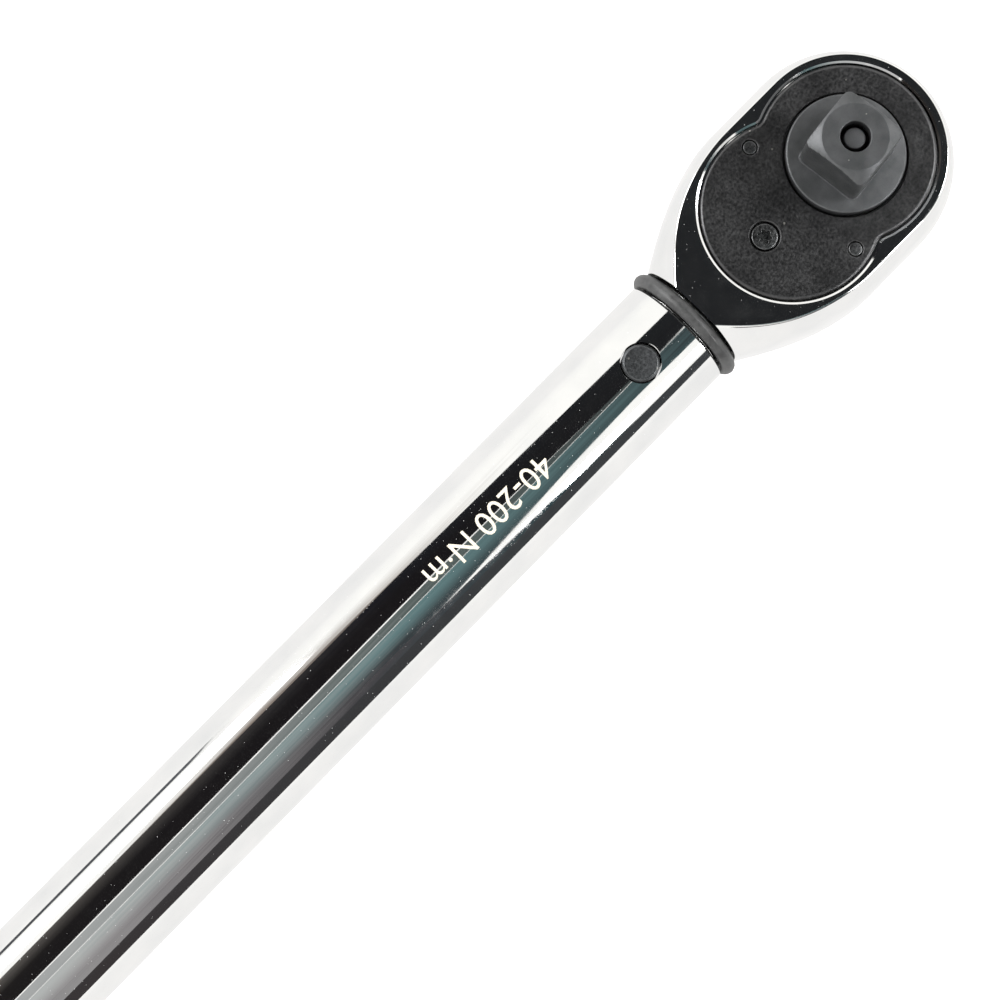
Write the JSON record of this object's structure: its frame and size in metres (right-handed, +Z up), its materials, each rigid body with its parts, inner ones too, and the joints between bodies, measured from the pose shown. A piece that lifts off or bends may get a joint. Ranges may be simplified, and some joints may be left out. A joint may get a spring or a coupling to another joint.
{
  "type": "torque wrench",
  "caption": "Click-type torque wrench: pear-shaped reversible ratchet head with square drive, steel tube and turning scale handle with a lock knob.",
  "frame": {"origin": "middle of the wrench's length and width, on the surface that it lies on", "axes": "+X from the handle to the ratchet head, +Y to the left, +Z up along the drive square"},
  "size_m": [0.4692, 0.0408, 0.0454],
  "materials": {
    "head_chrome": "polished nickel-chrome plate on a steel forging, milled flat mirror-polished",
    "tube_chrome": "polished nickel-chrome plate on drawn steel tube",
    "handle_chrome": "satin chrome plate, diamond-knurled grip and engraved black-filled scale",
    "black_oxide": "black oxide on ground steel, satin, lightly oiled",
    "screw_black": "black oxide, semi-gloss",
    "pin_black": "black oxide on a ground pin end",
    "phosphate": "dark manganese phosphate",
    "drive_phosphate": "grey manganese phosphate on machined alloy steel, worn bright at the edges",
    "spring_steel": "oil-tempered spring wire",
    "bearing_steel": "ground and polished hardened steel",
    "machined_steel": "turned steel, fine tool marks",
    "brass": "turned brass",
    "rubber": "black nitrile rubber, satin, with a faint mould line",
    "knob_black": "black oxide, straight-knurled"
  },
  "bodies": {
    "tube": {"body_tube": "tube_chrome", "pivot_pin": "pin_black", "plunger": "machined_steel", "main_spring": "spring_steel", "screw_nut": "brass", "nut_pin_left": "bearing_steel", "nut_pin_right": "bearing_steel"},
    "head": {"ratchet_head": "head_chrome", "cover_plate": "black_oxide", "cover_screw": "screw_black", "pawl_pin_left": "phosphate", "pawl_pin_right": "phosphate", "pawl_spring": "spring_steel", "neck_o_ring": "rubber"},
    "drive": {"drive_gear": "drive_phosphate", "release_spring": "spring_steel"},
    "release_rod": {"release_button": "phosphate"},
    "detent": {"detent_ball": "bearing_steel"},
    "reverser": {"reversing_lever": "black_oxide", "selector_ring": "machined_steel"},
    "left_pawl": {"pawl_left": "phosphate"},
    "right_pawl": {"pawl_right": "phosphate"},
    "block": {"tilt_block": "bearing_steel"},
    "seat": {"spring_seat": "machined_steel", "thrust_ball": "bearing_steel"},
    "handle": {"handle_sleeve": "handle_chrome", "handle_plug": "machined_steel", "plug_pin_left": "bearing_steel", "plug_pin_right": "bearing_steel", "adjusting_screw": "machined_steel", "drag_ring": "rubber"},
    "locking_rod": {"lock_rod": "machined_steel"},
    "knob": {"lock_knob": "knob_black"},
    "pad": {"lock_pad": "brass"}
  },
  "joints": [
    {"name": "head_swing", "type": "hinge", "parent": "tube", "child": "head", "pos_m": [0.16073, 0, 0.0175], "axis": [0, 0, 1], "range_deg": [-1.8, 1.8], "stiffness_Nm_per_rad": 20},
    {"name": "tilt_block_tilt", "type": "hinge", "parent": "tube", "child": "block", "pos_m": [0.07863, 0, 0.0175], "axis": [0, 0, 1], "range_deg": [-19.5, 19.5]},
    {"name": "drive_turn", "type": "hinge", "parent": "head", "child": "drive", "pos_m": [0.21343, 0, 0.0175], "axis": [0, 0, 1], "continuous": true},
    {"name": "release_press", "type": "slide", "parent": "drive", "child": "release_rod", "axis": [0, 0, 1], "range_m": [0, 0.0025], "stiffness_N_per_m": 800, "springref_m": -0.002, "deforming": ["release_spring"]},
    {"name": "detent_ball_slide", "type": "slide", "parent": "drive", "child": "detent", "axis": [-0.9945, -0.1045, 0], "range_m": [0, 0.00102]},
    {"name": "reverser_turn", "type": "hinge", "parent": "head", "child": "reverser", "pos_m": [0.21343, 0, 0.0175], "axis": [0, 0, 1], "range_deg": [-28, 0], "deforming": ["pawl_spring"]},
    {"name": "pawl_left_turn", "type": "hinge", "parent": "head", "child": "left_pawl", "pos_m": [0.20233, 0.01315, 0.0175], "axis": [0, 0, 1], "range_deg": [-10.1, 0]},
    {"name": "pawl_right_turn", "type": "hinge", "parent": "head", "child": "right_pawl", "pos_m": [0.20233, -0.01315, 0.0175], "axis": [0, 0, 1], "range_deg": [-10.1, 0]},
    {"name": "seat_travel", "type": "slide", "parent": "tube", "child": "seat", "axis": [1, 0, 0], "range_m": [0, 0.03205], "deforming": ["main_spring"]},
    {"name": "handle_turn", "type": "hinge", "parent": "seat", "child": "handle", "pos_m": [0, 0, 0.0175], "axis": [1, 0, 0], "range_deg": [0, 5760]},
    {"name": "lock_rod_travel", "type": "slide", "parent": "handle", "child": "locking_rod", "axis": [-1, 0, 0], "range_m": [0, 0.00151]},
    {"name": "lock_knob_turn", "type": "hinge", "parent": "locking_rod", "child": "knob", "pos_m": [0, 0, 0.0175], "axis": [-1, 0, 0], "range_deg": [0, 540]},
    {"name": "lock_pad_travel", "type": "slide", "parent": "handle", "child": "pad", "axis": [0, -1, 0], "range_m": [0, 0.00026]}
  ],
  "couplings": [
    {"joint": "tilt_block_tilt", "follows": "head_swing", "ratio": -10.729},
    {"joint": "detent_ball_slide", "follows": "release_press", "ratio": 0.4},
    {"joint": "pawl_left_turn", "follows": "reverser_turn", "ratio": 0.357},
    {"joint": "pawl_right_turn", "follows": "reverser_turn", "ratio": 0.357},
    {"joint": "seat_travel", "follows": "handle_turn", "m_per_rad": 0.00031831},
    {"joint": "lock_rod_travel", "follows": "lock_knob_turn", "m_per_rad": 0.00015915},
    {"joint": "lock_pad_travel", "follows": "lock_knob_turn", "m_per_rad": 0.0000265}
  ]
}
